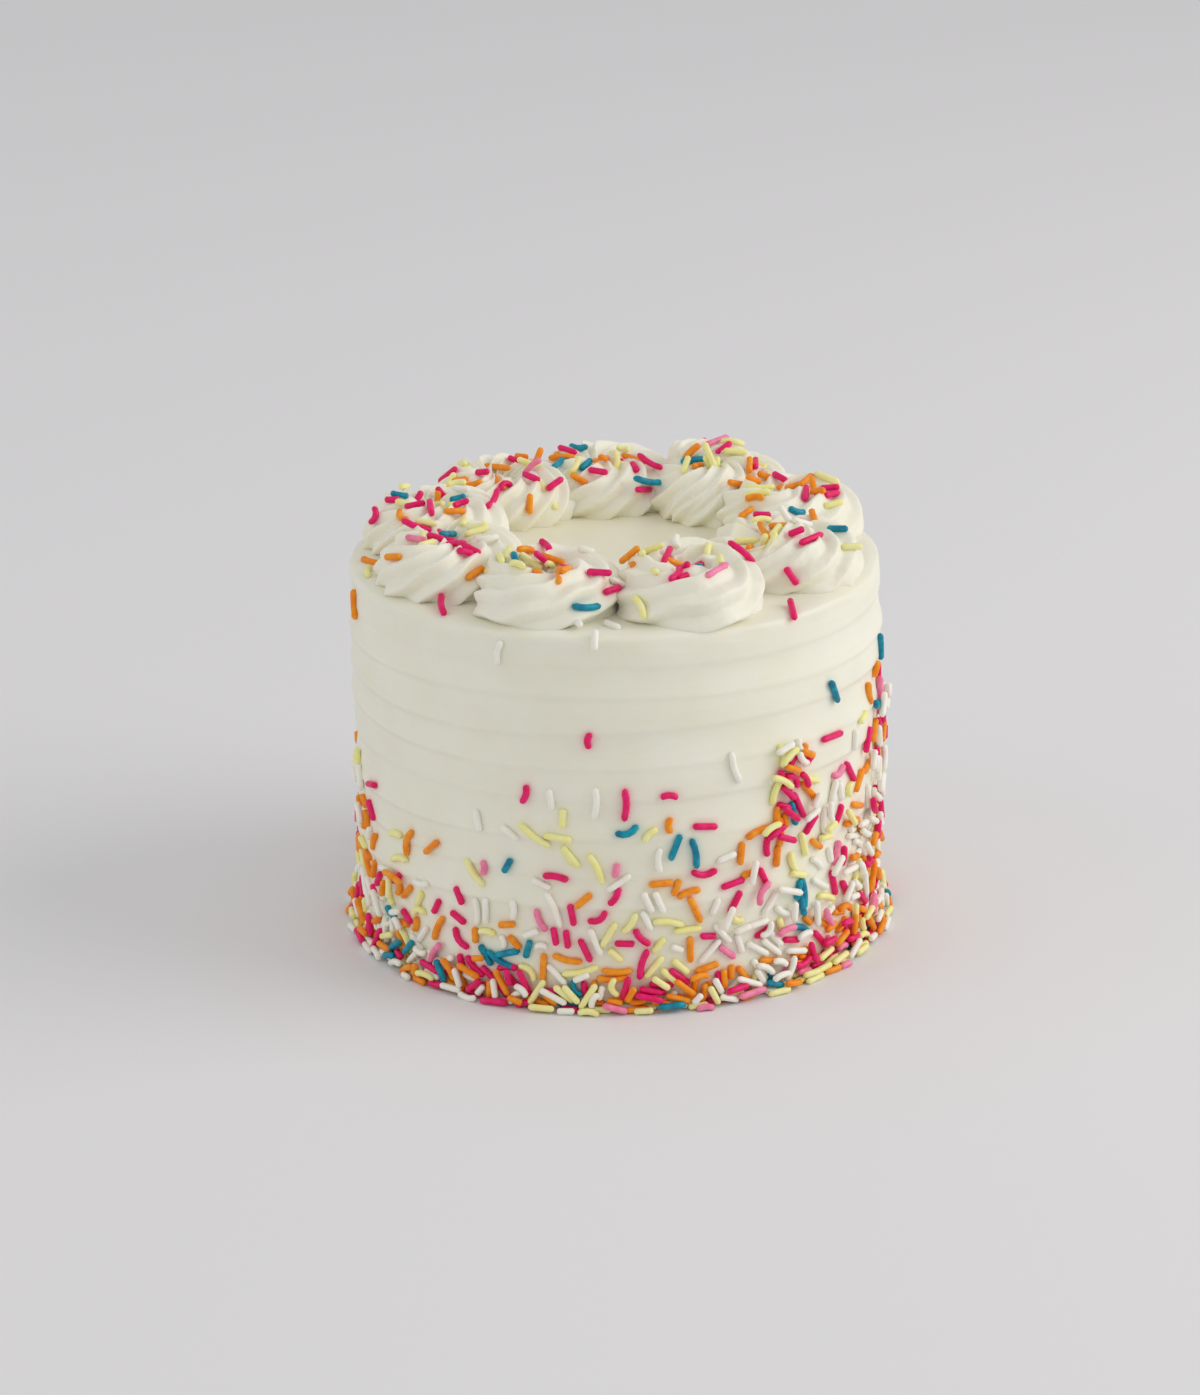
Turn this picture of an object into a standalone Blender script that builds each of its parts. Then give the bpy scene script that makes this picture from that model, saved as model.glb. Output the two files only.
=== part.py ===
"""Celebration cake: a round iced cake with combed sides, a ring of piped rosettes and sugar sprinkles.

Metres, +Z up. The origin is the centre of the flat base, and the front of the cake faces -Y.
Angles run anticlockwise seen from above, from +X, so the front is at 270 degrees.
"""

import math
import random

import bmesh
import bpy
from mathutils import Matrix, Vector

MM = 0.001

# The iced cake
CAKE_RADIUS = 80.3 * MM
CAKE_HEIGHT = 117.0 * MM
EDGE_ROUNDING = 3.2 * MM
EDGE_TURNS = (90, 50, 15)
BASE_ROUNDING = 1.2 * MM
CAKE_SEGMENTS = 48
TOP_RINGS = (30.0 * MM, 58.0 * MM)

# The comb's broad waves, and the low steps that its strokes left: each stands out right above its edge and
# sinks back over the band
WAVE_PITCH = 20.5 * MM
WAVE_DEPTH = 0.32 * MM
WAVE_FADE_HEIGHT = 25.0 * MM
STROKE_EDGES = tuple(edge * MM for edge in (107.5, 97.0, 87.0, 76.0, 65.5, 54.5, 43.5, 32.5, 22.0))
STROKE_DEPTH = 0.6 * MM
STROKE_STEP = 0.8 * MM
STROKE_SINK = 5.0 * MM

# The ring of piped rosettes: the angle on the cake in degrees, the distance from the cake's axis, the base
# radius, the height and the depth of the dimple in the middle
ROSETTES = (
    (291.0, 55.6 * MM, 23.8 * MM, 15.5 * MM, 1.5 * MM),
    (335.0, 54.8 * MM, 23.8 * MM, 17.0 * MM, 3.0 * MM),
    (17.0, 55.4 * MM, 23.6 * MM, 16.0 * MM, 1.5 * MM),
    (53.0, 54.4 * MM, 23.4 * MM, 20.5 * MM, 1.0 * MM),
    (93.0, 54.4 * MM, 23.6 * MM, 16.0 * MM, 1.5 * MM),
    (130.0, 54.8 * MM, 23.4 * MM, 15.5 * MM, 2.0 * MM),
    (169.0, 56.0 * MM, 23.2 * MM, 15.5 * MM, 2.0 * MM),
    (208.0, 56.0 * MM, 23.4 * MM, 15.5 * MM, 1.5 * MM),
    (248.0, 55.6 * MM, 23.6 * MM, 15.0 * MM, 2.5 * MM),
)
ROSETTE_LOBES = 12
POINTS_PER_LOBE = 3
ROSETTE_RINGS = 6
ROPE_SHARE = 0.48
RIDGE_DEPTH = 1.7 * MM
FOOT_ANGLE = math.radians(-24)
WAIST_SHARE = 0.28
DIMPLE_ANGLE = math.radians(152)
RIDGE_FULL_FROM = 0.7
RIDGE_SHARPNESS = 0.8
TAIL_STEP = 0.9 * MM
CENTRE_PIT = 0.2 * MM
START_STEP = math.radians(77)
NEIGHBOUR_GAP = 0.3 * MM

# The sugar sprinkles
SPRINKLE_RADIUS = 1.0 * MM
SPRINKLE_LENGTHS = (5.5 * MM, 9.5 * MM)
SPRINKLE_SIDES = 5
SPRINKLE_BEND = 1.0 * MM
SPRINKLE_CLEARANCE = 2.5 * MM
SPRINKLE_RISE = 0.35 * MM
SIDE_SPRINKLES = 84
SPRINKLES_PER_ROSETTE = 3
FOOT_CLEARANCE = 0.6 * MM
CROWDING_AT_FOOT = 2.1
CROWN_REACH = (0.15, 0.65)
SEED = 7

# How high the sprinkles reach up the side, at each angle
SPRINKLE_REACH = (
    (0.0, 72.0 * MM),
    (60.0, 55.0 * MM),
    (130.0, 45.0 * MM),
    (185.0, 52.0 * MM),
    (225.0, 42.0 * MM),
    (265.0, 62.0 * MM),
    (290.0, 62.0 * MM),
    (312.0, 82.0 * MM),
    (340.0, 80.0 * MM),
    (360.0, 72.0 * MM),
)

BUTTERCREAM = (0.86, 0.84, 0.74)


def clear_scene():
    for old in list(bpy.data.objects):
        bpy.data.objects.remove(old, do_unlink=True)


def new_collection(name):
    made = bpy.data.collections.new(name)
    bpy.context.scene.collection.children.link(made)
    return made


def buttercream_material(name):
    made = bpy.data.materials.new(name)
    made.use_nodes = True
    shader = made.node_tree.nodes["Principled BSDF"]
    shader.inputs["Base Color"].default_value = (*BUTTERCREAM, 1.0)
    shader.inputs["Roughness"].default_value = 0.5
    shader.inputs["Metallic"].default_value = 0.0
    return made


def new_object(name, mesh, collection):
    made = bpy.data.objects.new(name, mesh)
    collection.objects.link(made)
    return made


def between(table, angle):
    """The value at an angle in degrees, read from (angle, value) pairs by straight lines."""
    for (low, a), (high, b) in zip(table, table[1:]):
        if low <= angle <= high:
            return a + (b - a) * (angle - low) / (high - low)
    raise ValueError("the table starts at 0 and ends at 360 degrees")


# The iced cake


def comb_relief(height):
    """How far the comb's waves and steps stand out at a height. The waves fade towards the foot."""
    fade = min(1.0, height / WAVE_FADE_HEIGHT)
    wave = math.cos(2 * math.pi * (CAKE_HEIGHT - EDGE_ROUNDING - height) / WAVE_PITCH)
    relief = WAVE_DEPTH * fade * wave
    for edge in STROKE_EDGES:
        above = height - edge
        rise = max(0.0, min(1.0, above / STROKE_STEP + 0.5))
        relief += STROKE_DEPTH * rise * math.exp(-max(0.0, above) / STROKE_SINK)
    return relief


def side_radius(height):
    return CAKE_RADIUS + comb_relief(height)


def side_heights():
    """Heights of the side's rings, downwards: the two ends of each step and the middle of each band."""
    heights = []
    for above, edge in zip((CAKE_HEIGHT - EDGE_ROUNDING,) + STROKE_EDGES, STROKE_EDGES):
        heights.append((above + edge) / 2)
        heights.append(edge + STROKE_STEP / 2)
        heights.append(edge - STROKE_STEP / 2)
    heights.append(STROKE_EDGES[-1] / 2)
    return heights


def cake_profile():
    """(radius, height) down the outer side, from the centre of the top to the centre of the base."""
    points = [(0.0, CAKE_HEIGHT)]
    points += [(radius, CAKE_HEIGHT) for radius in TOP_RINGS]
    edge_height = CAKE_HEIGHT - EDGE_ROUNDING
    for turn in EDGE_TURNS:
        reach = math.radians(turn)
        points.append(
            (
                side_radius(edge_height) - EDGE_ROUNDING * (1 - math.cos(reach)),
                edge_height + EDGE_ROUNDING * math.sin(reach),
            )
        )
    points += [(side_radius(height), height) for height in side_heights()]
    points.append((side_radius(BASE_ROUNDING), BASE_ROUNDING))
    points.append((side_radius(0.0) - BASE_ROUNDING, 0.0))
    points.append((0.0, 0.0))
    return points


def make_cake(collection):
    profile = bpy.data.meshes.new("cake_body")
    points = cake_profile()
    chain = [(i, i + 1) for i in range(len(points) - 1)]
    profile.from_pydata([(r, 0.0, z) for r, z in points], chain, [])
    profile.materials.append(buttercream_material("cake_buttercream"))
    cake = new_object("cake_body", profile, collection)
    turn = cake.modifiers.new("turn", "SCREW")
    turn.steps = CAKE_SEGMENTS
    turn.render_steps = CAKE_SEGMENTS
    turn.use_merge_vertices = True
    turn.merge_threshold = 0.00001
    return cake


# The piped rosettes


def rope_angle(ring):
    """Where a ring lies round the rope's own section, from the dimple over the crown to the foot."""
    return DIMPLE_ANGLE + (FOOT_ANGLE - DIMPLE_ANGLE) * ring / ROSETTE_RINGS


def rosette_section(ring, size, height, dimple):
    """(radius, height) of one ring of the swirl: 0 is the centre of the top, and the last is the foot.

    The swirl is one turn of rope, so its section is a rounded tube that rolls over into the dimple.
    """
    angle = rope_angle(ring)
    rope = size * ROPE_SHARE
    waist = height * WAIST_SHARE
    radius = (size - rope) + rope * math.cos(angle)
    if angle > math.pi / 2:
        inward = (1 - math.sin(angle)) / (1 - math.sin(DIMPLE_ANGLE))
        level = height - dimple * inward
    elif angle > 0:
        level = waist + (height - waist) * math.sin(angle)
    else:
        level = waist * (1 - math.sin(angle) / math.sin(FOOT_ANGLE))
    return radius, level


def ridge(phase):
    """Broad ridges with narrow valleys, from -1 to 0."""
    return abs(math.sin(phase / 2)) ** RIDGE_SHARPNESS - 1


def rosette_mesh(number, size, height, dimple):
    """A sphere primitive whose rings are moved to the sections of the swirl.

    The nozzle doesn't turn while it travels round, so in one turn of the rope each ridge also goes once
    round the rope's section: a ring is turned by its own angle round the section.
    """
    sections = [rosette_section(ring, size, height, dimple) for ring in range(ROSETTE_RINGS + 1)]
    start = number * START_STEP
    shape = bmesh.new()
    bmesh.ops.create_uvsphere(
        shape, u_segments=ROSETTE_LOBES * POINTS_PER_LOBE, v_segments=ROSETTE_RINGS + 2, radius=1.0
    )
    for corner in shape.verts:
        polar = math.acos(max(-1.0, min(1.0, corner.co.z)))
        ring = round(polar * (ROSETTE_RINGS + 2) / math.pi) - 1
        if ring < 0:
            corner.co = Vector((0, 0, sections[0][1] - CENTRE_PIT))
        elif ring > ROSETTE_RINGS:
            corner.co = Vector((0, 0, 0))
        else:
            radius, level = sections[ring]
            angle = math.atan2(corner.co.y, corner.co.x)
            depth = RIDGE_DEPTH * min(1.0, radius / (RIDGE_FULL_FROM * size))
            radius += depth * ridge(ROSETTE_LOBES * angle)
            placed = angle + start + rope_angle(ring) - FOOT_ANGLE
            tail = ((placed - start) / (2 * math.pi)) % 1.0
            radius += TAIL_STEP * (tail - 0.5) * radius / size
            corner.co = Vector((radius * math.cos(placed), radius * math.sin(placed), level))
    return shape


def cut_flat(shape, point, outward):
    """Removes what lies beyond a plane and closes the cut."""
    everything = shape.verts[:] + shape.edges[:] + shape.faces[:]
    bmesh.ops.bisect_plane(
        shape, geom=everything, dist=1e-6, plane_co=point, plane_no=outward, clear_outer=True
    )
    rim = [edge for edge in shape.edges if edge.is_boundary]
    bmesh.ops.holes_fill(shape, edges=rim, sides=0)


def seams_of(number):
    """The angles of the planes where a rosette meets the one before it and the one after it."""
    here = ROSETTES[number][0]
    before = ROSETTES[number - 1][0]
    after = ROSETTES[(number + 1) % len(ROSETTES)][0]
    back = ((here - before) % 360) / 2
    ahead = ((after - here) % 360) / 2
    return math.radians(here - back), math.radians(here + ahead)


def make_rosette(number, collection):
    name = f"rosette_{number + 1}"
    angle, distance, size, height, dimple = ROSETTES[number]
    shape = rosette_mesh(number, size, height, dimple)
    foot = Vector((distance, 0, CAKE_HEIGHT + NEIGHBOUR_GAP))
    foot.rotate(Matrix.Rotation(math.radians(angle), 3, "Z"))
    bmesh.ops.translate(shape, verts=shape.verts[:], vec=foot)
    for seam, side in zip(seams_of(number), (-1, 1)):
        outward = Vector((-math.sin(seam), math.cos(seam), 0)) * side
        cut_flat(shape, outward * (-NEIGHBOUR_GAP / 2), outward)
    bmesh.ops.triangulate(shape, faces=shape.faces[:])
    mesh = bpy.data.meshes.new(name)
    shape.to_mesh(mesh)
    shape.free()
    mesh.materials.append(buttercream_material(f"{name}_buttercream"))
    return new_object(name, mesh, collection)


# The sprinkles


def sprinkle_mesh(name, length, bend):
    """A short rod with rounded ends along X, bent sideways in the middle: a stretched sphere primitive."""
    shape = bmesh.new()
    bmesh.ops.create_uvsphere(shape, u_segments=SPRINKLE_SIDES, v_segments=4, radius=1.0)
    for corner in shape.verts:
        along = corner.co.z
        if abs(along) > 0.99:
            place = math.copysign(length / 2, along)
            corner.co = Vector((place, 0, 0))
        elif abs(along) > 0.1:
            across = Vector((0, corner.co.x, corner.co.y)).normalized() * SPRINKLE_RADIUS
            place = math.copysign(length / 2 - 0.5 * SPRINKLE_RADIUS, along)
            corner.co = Vector((place, 0, 0)) + across
        else:
            across = Vector((0, corner.co.x, corner.co.y)).normalized() * SPRINKLE_RADIUS
            corner.co = Vector((0, bend, 0)) + across
    bmesh.ops.recalc_face_normals(shape, faces=shape.faces[:])
    mesh = bpy.data.meshes.new(name)
    shape.to_mesh(mesh)
    shape.free()
    return mesh


def rod_points(centre, along, length):
    reach = along * (length / 2)
    return [centre - reach, centre - reach / 2, centre, centre + reach / 2, centre + reach]


def is_clear(points, others):
    return all((p - q).length > SPRINKLE_CLEARANCE for p in points for q in others)


def lay_sprinkle(name, collection, centre, outward, spin, length, bend):
    """Lays a sprinkle flat on a surface at a centre, with the surface's normal, turned by spin."""
    across = Vector((0, 0, 1)).cross(outward)
    if across.length < 0.1:
        across = Vector((1, 0, 0))
    across.normalize()
    across = (Matrix.Rotation(spin, 3, outward) @ across).normalized()
    side = outward.cross(across).normalized()
    made = new_object(name, sprinkle_mesh(name, length, bend), collection)
    made.matrix_world = Matrix(
        (
            (across.x, side.x, outward.x, centre.x),
            (across.y, side.y, outward.y, centre.y),
            (across.z, side.z, outward.z, centre.z),
            (0, 0, 0, 1),
        )
    )
    return rod_points(centre, across, length)


def even_pair(count):
    """The count-th of a series of pairs, each from 0 to 1, that fills a square evenly."""
    return ((count + 0.5) * 0.7548776662) % 1.0, ((count + 0.5) * 0.5698402910) % 1.0


def side_sprinkles(collection, draw):
    """Sprinkles pressed into the side, thickest at the foot and fewer towards the reach at each angle."""
    taken = []
    placed = 0
    count = 0
    while placed < SIDE_SPRINKLES:
        first, second = even_pair(count)
        count += 1
        length = draw.uniform(*SPRINKLE_LENGTHS)
        spin = draw.uniform(0, math.pi)
        bend = draw.uniform(-1, 1) * SPRINKLE_BEND
        angle = 360 * first
        reach = between(SPRINKLE_REACH, angle)
        height = FOOT_CLEARANCE + SPRINKLE_RADIUS + reach * second**CROWDING_AT_FOOT
        room = height - FOOT_CLEARANCE - SPRINKLE_RADIUS
        if abs(math.sin(spin)) * length / 2 + abs(bend) > room:
            spin = 0.0
            bend = abs(bend) if room > SPRINKLE_BEND else 0.0
        turn = math.radians(angle)
        outward = Vector((math.cos(turn), math.sin(turn), 0))
        centre = outward * (side_radius(height) + SPRINKLE_RISE) + Vector((0, 0, height))
        along = Matrix.Rotation(spin, 3, outward) @ Vector((0, 0, 1)).cross(outward)
        if not is_clear(rod_points(centre, along, length), taken):
            continue
        taken += lay_sprinkle(f"side_sprinkle_{placed}", collection, centre, outward, spin, length, bend)
        placed += 1


def rosette_sprinkles(number, rosette, collection, draw):
    """A few sprinkles on a rosette's crown, found by looking down on it."""
    angle, off_axis, size, height, _ = ROSETTES[number]
    centre = Vector((off_axis, 0, 0))
    centre.rotate(Matrix.Rotation(math.radians(angle), 3, "Z"))
    seams = seams_of(number)
    taken = []
    placed = 0
    while placed < SPRINKLES_PER_ROSETTE:
        turn = draw.uniform(0, 2 * math.pi)
        nearest, furthest = CROWN_REACH
        distance = size * (nearest + (furthest - nearest) * math.sqrt(draw.uniform(0, 1)))
        length = draw.uniform(*SPRINKLE_LENGTHS)
        spin = draw.uniform(0, math.pi)
        above = centre + Vector((math.cos(turn), math.sin(turn), 0)) * distance
        above.z = CAKE_HEIGHT + 3 * height
        hit, spot, normal, _ = rosette.ray_cast(above, Vector((0, 0, -1)))
        if not hit or normal.z < 0.5:
            continue
        spot = spot + normal * SPRINKLE_RISE
        across = Vector((0, 0, 1)).cross(normal)
        if across.length < 0.1:
            across = Vector((1, 0, 0))
        along = Matrix.Rotation(spin, 3, normal) @ across.normalized()
        points = rod_points(spot, along, length)
        walls = [Vector((-math.sin(seam), math.cos(seam), 0)) for seam in seams]
        room = min(abs(wall.dot(point)) for wall in walls for point in points)
        if room < 2 * SPRINKLE_RADIUS or not is_clear(points, taken):
            continue
        taken += lay_sprinkle(f"crown_{number}_{placed}", collection, spot, normal, spin, length, 0.0)
        placed += 1


def fuse(target, collection):
    """Joins everything in a collection to the target, and removes the collection's objects."""
    union = target.modifiers.new("fuse", "BOOLEAN")
    union.operation = "UNION"
    union.operand_type = "COLLECTION"
    union.collection = collection
    union.solver = "EXACT"
    bpy.context.view_layer.update()
    graph = bpy.context.evaluated_depsgraph_get()
    joined = bpy.data.meshes.new_from_object(target.evaluated_get(graph))
    target.modifiers.clear()
    old = target.data
    name = old.name
    target.data = joined
    bpy.data.meshes.remove(old)
    joined.name = name
    for tool in list(collection.objects):
        bpy.data.objects.remove(tool, do_unlink=True)
    bpy.data.collections.remove(collection)


def main():
    clear_scene()
    parts = new_collection("celebration_cake")
    draw = random.Random(SEED)

    cake = make_cake(parts)
    on_side = new_collection("side_sprinkles")
    side_sprinkles(on_side, draw)
    fuse(cake, on_side)

    for number in range(len(ROSETTES)):
        rosette = make_rosette(number, parts)
        bpy.context.view_layer.update()
        on_crown = new_collection(f"crown_sprinkles_{number + 1}")
        rosette_sprinkles(number, rosette, on_crown, draw)
        fuse(rosette, on_crown)


main()
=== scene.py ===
import math
import random

import bmesh
import bpy
import numpy as np
from mathutils import Matrix, Vector, noise
from mathutils.bvhtree import BVHTree
from mathutils.kdtree import KDTree


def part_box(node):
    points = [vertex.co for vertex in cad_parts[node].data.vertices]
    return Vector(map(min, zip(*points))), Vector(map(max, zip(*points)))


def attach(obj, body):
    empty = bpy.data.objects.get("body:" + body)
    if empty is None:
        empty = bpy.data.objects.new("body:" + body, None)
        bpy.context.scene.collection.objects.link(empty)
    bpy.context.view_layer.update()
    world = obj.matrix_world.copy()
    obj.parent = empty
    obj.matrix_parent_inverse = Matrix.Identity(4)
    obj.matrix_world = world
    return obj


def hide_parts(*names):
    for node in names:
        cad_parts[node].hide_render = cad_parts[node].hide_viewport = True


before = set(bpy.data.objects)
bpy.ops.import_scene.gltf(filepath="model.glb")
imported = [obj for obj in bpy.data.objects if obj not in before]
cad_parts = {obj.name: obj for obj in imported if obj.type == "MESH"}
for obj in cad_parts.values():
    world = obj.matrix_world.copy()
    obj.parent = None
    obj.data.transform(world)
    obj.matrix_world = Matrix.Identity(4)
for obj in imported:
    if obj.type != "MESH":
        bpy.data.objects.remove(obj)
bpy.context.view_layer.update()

# A round buttercream cake with combed sides, a ring of piped rosettes and sugar sprinkles.
# The frame is in metres, +Z up, and the front faces -Y. The sizes below are in millimetres,
# and angles run anticlockwise seen from above, from +X, so the front is at 270 degrees.

mm = 0.001
cakeLow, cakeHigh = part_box("cake_body")
cakeTop = cakeHigh.z


def deselectAll():
    bpy.ops.object.select_all(action="DESELECT")


def takeUp(piece):
    # makes one object the only one selected, and the active one
    deselectAll()
    piece.select_set(True)
    bpy.context.view_layer.objects.active = piece


def applyModifiers(piece):
    takeUp(piece)
    for modifier in list(piece.modifiers):
        bpy.ops.object.modifier_apply(modifier=modifier.name)


def throwAway(thing):
    data = thing.data
    bpy.data.objects.remove(thing, do_unlink=True)
    if isinstance(data, bpy.types.Mesh):
        bpy.data.meshes.remove(data)
    elif isinstance(data, bpy.types.Curve):
        bpy.data.curves.remove(data)


def readPoints(mesh):
    points = np.empty(len(mesh.vertices) * 3)
    mesh.vertices.foreach_get("co", points)
    return points.reshape(-1, 3)


def writePoints(mesh, points):
    mesh.vertices.foreach_set("co", points.reshape(-1))
    mesh.update()


def onCircle(degrees, radius=1.0, height=0.0):
    turn = math.radians(degrees)
    return Vector((radius * math.cos(turn), radius * math.sin(turn), height))


def smoothStep(low, high, value):
    share = np.clip((value - low) / (high - low), 0, 1)
    return share * share * (3 - 2 * share)


# camera, at the photo's angle

cameraSet = {
    "lens": 100.8,              # mm, on a 36 mm sensor
    "pitch": 19.784,            # degrees below the horizon
    "roll": 0.785,              # degrees
    "distance": 1231.07,        # from the foot of the cake
    "aside": 2.97,              # where the foot of the cake lies off the middle of the view
    "above": -64.86,
    "footOffset": (2.16, -1.25),
}


def placeCamera():
    pitch = math.radians(cameraSet["pitch"])
    roll = math.radians(cameraSet["roll"])
    right = Vector((1, 0, 0))
    up = Vector((0, math.sin(pitch), math.cos(pitch)))
    ahead = Vector((0, math.cos(pitch), -math.sin(pitch)))
    foot = right * cameraSet["aside"] + up * cameraSet["above"] + ahead * cameraSet["distance"]
    place = -(foot + Vector((*cameraSet["footOffset"], 0))) * mm
    bpy.ops.object.camera_add(location=place)
    camera = bpy.context.object
    camera.name = "photoCamera"
    camera.data.lens = cameraSet["lens"]
    camera.data.clip_end = 50
    rolledRight = right * math.cos(roll) - up * math.sin(roll)
    rolledUp = right * math.sin(roll) + up * math.cos(roll)
    turned = Matrix((rolledRight, rolledUp, -ahead)).transposed()
    camera.matrix_world = Matrix.Translation(place) @ turned.to_4x4()
    bpy.context.scene.camera = camera
    print("camera placed")


# light and floor

studio = {
    "floorSize": 12.0,          # m
    "floorGrey": (0.825, 0.82, 0.83),
    "skyGrey": (0.61, 0.605, 0.61),
    "skyStrength": 0.96,
    "lamps": {                  # place in m, size in m, watts, colour
        "keyLamp": ((1.9, -0.25, 1.1), 1.9, 21.0, (1.0, 0.978, 0.96)),
        "fillLamp": ((-2.0, -0.7, 0.9), 2.2, 7.0, (0.96, 0.985, 1.0)),
    },
}


def buildStudio():
    deselectAll()
    bpy.ops.mesh.primitive_plane_add(size=studio["floorSize"], location=(0, 0, 0))
    floor = bpy.context.object
    floor.name = "floor"
    floor.data.materials.append(floorFinish())
    for name, (place, size, power, colour) in studio["lamps"].items():
        bpy.ops.object.light_add(type="AREA", location=place)
        lamp = bpy.context.object
        lamp.name = name
        lamp.data.shape = "DISK"
        lamp.data.size = size
        lamp.data.energy = power
        lamp.data.color = colour
        toCake = Vector((0, 0, 0.5 * cakeTop)) - Vector(place)
        lamp.rotation_euler = toCake.to_track_quat("-Z", "Y").to_euler()
    sky = bpy.data.worlds.new("studioSky")
    bpy.context.scene.world = sky
    sky.use_nodes = True
    glow = sky.node_tree.nodes["Background"]
    glow.inputs["Color"].default_value = (*studio["skyGrey"], 1)
    glow.inputs["Strength"].default_value = studio["skyStrength"]
    bpy.context.scene.view_settings.view_transform = "Standard"
    print("studio lit")


# finishes

def newFinish(name):
    finish = bpy.data.materials.new(name)
    finish.use_nodes = True
    return finish, finish.node_tree, finish.node_tree.nodes["Principled BSDF"]


def addNoise(tree, scale, detail=2.0, roughness=0.5):
    place = tree.nodes.new("ShaderNodeTexCoord")
    grain = tree.nodes.new("ShaderNodeTexNoise")
    grain.inputs["Scale"].default_value = scale
    grain.inputs["Detail"].default_value = detail
    grain.inputs["Roughness"].default_value = roughness
    tree.links.new(place.outputs["Object"], grain.inputs["Vector"])
    return grain


def addRamp(tree, source, stops):
    ramp = tree.nodes.new("ShaderNodeValToRGB")
    for element, (place, colour) in zip(ramp.color_ramp.elements, stops):
        element.position = place
        element.color = (*colour, 1)
    tree.links.new(source, ramp.inputs["Fac"])
    return ramp


def addBump(tree, source, strength, distance, below=None):
    bump = tree.nodes.new("ShaderNodeBump")
    bump.inputs["Strength"].default_value = strength
    bump.inputs["Distance"].default_value = distance
    tree.links.new(source, bump.inputs["Height"])
    if below:
        tree.links.new(below.outputs["Normal"], bump.inputs["Normal"])
    return bump


def floorFinish():
    finish, tree, shader = newFinish("floorPaper")
    shader.inputs["Base Color"].default_value = (*studio["floorGrey"], 1)
    shader.inputs["Roughness"].default_value = 0.9
    return finish


creamSet = {
    "combed": ((0.882, 0.862, 0.712), (0.912, 0.896, 0.768)),      # deep and light tone
    "piped": ((0.900, 0.876, 0.730), (0.930, 0.910, 0.785)),
    "scatter": 0.35,
    "scatterDepth": 1.9,        # mm
}


def creamFinish(kind):
    finish, tree, shader = newFinish(kind + "Cream")
    deep, light = creamSet[kind]
    patches = addNoise(tree, 55.0, 3.0)
    tone = addRamp(tree, patches.outputs["Fac"], ((0.35, deep), (0.68, light)))
    # an attribute multiplies in the colour that strands stain round themselves, and a painted yellow bounce light
    # on the top inside the ring of rosettes
    bleedAndBounce = tree.nodes.new("ShaderNodeAttribute")
    bleedAndBounce.attribute_name = "bleedAndBounce"
    tint = tree.nodes.new("ShaderNodeMix")
    tint.data_type = "RGBA"
    tint.blend_type = "MULTIPLY"
    tint.inputs["Factor"].default_value = 1.0
    tree.links.new(tone.outputs["Color"], tint.inputs["A"])
    tree.links.new(bleedAndBounce.outputs["Color"], tint.inputs["B"])
    tree.links.new(tint.outputs["Result"], shader.inputs["Base Color"])
    pores = addNoise(tree, 1400.0, 3.0, 0.6)
    smears = addNoise(tree, 260.0, 2.0)
    if kind == "combed":
        # the smears of the comb run round the cake, so they are stretched level
        squeeze = tree.nodes.new("ShaderNodeMapping")
        squeeze.inputs["Scale"].default_value = (0.12, 0.12, 1.6)
        place = tree.nodes.new("ShaderNodeTexCoord")
        tree.links.new(place.outputs["Object"], squeeze.inputs["Vector"])
        tree.links.new(squeeze.outputs["Vector"], smears.inputs["Vector"])
    fine = addBump(tree, pores.outputs["Fac"], 0.25, 0.12 * mm)
    broad = addBump(tree, smears.outputs["Fac"], 0.35, 0.35 * mm, fine)
    tree.links.new(broad.outputs["Normal"], shader.inputs["Normal"])
    sheen = addRamp(tree, patches.outputs["Fac"], ((0.3, (0.38,) * 3), (0.7, (0.50,) * 3)))
    tree.links.new(sheen.outputs["Color"], shader.inputs["Roughness"])
    shader.inputs["Subsurface Weight"].default_value = creamSet["scatter"]
    shader.inputs["Subsurface Radius"].default_value = (1.0, 0.85, 0.6)
    shader.inputs["Subsurface Scale"].default_value = creamSet["scatterDepth"] * mm
    shader.inputs["Specular IOR Level"].default_value = 0.4
    return finish


sugarColours = {
    "pink": ((0.790, 0.000, 0.110), (0.900, 0.012, 0.190)),
    "rose": ((0.920, 0.190, 0.360), (0.950, 0.310, 0.480)),
    "orange": ((0.950, 0.245, 0.000), (0.975, 0.390, 0.020)),
    "yellow": ((0.940, 0.890, 0.320), (0.955, 0.930, 0.480)),
    "teal": ((0.000, 0.190, 0.310), (0.000, 0.360, 0.480)),
    "white": ((0.940, 0.920, 0.800), (0.965, 0.950, 0.870)),
}


def sugarFinish(colour):
    finish, tree, shader = newFinish(colour + "Sugar")
    deep, light = sugarColours[colour]
    patches = addNoise(tree, 420.0, 2.0)
    tone = addRamp(tree, patches.outputs["Fac"], ((0.35, deep), (0.7, light)))
    tree.links.new(tone.outputs["Color"], shader.inputs["Base Color"])
    specks = addNoise(tree, 2200.0, 2.0)
    rough = addBump(tree, specks.outputs["Fac"], 0.3, 0.08 * mm)
    tree.links.new(rough.outputs["Normal"], shader.inputs["Normal"])
    shader.inputs["Roughness"].default_value = 0.38
    shader.inputs["Specular IOR Level"].default_value = 0.34
    shader.inputs["Subsurface Weight"].default_value = 0.06
    shader.inputs["Subsurface Radius"].default_value = (1.0, 0.7, 0.6)
    shader.inputs["Subsurface Scale"].default_value = 0.8 * mm
    return finish


# the iced cake: a cylinder with its rim rounded, then combed

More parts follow.
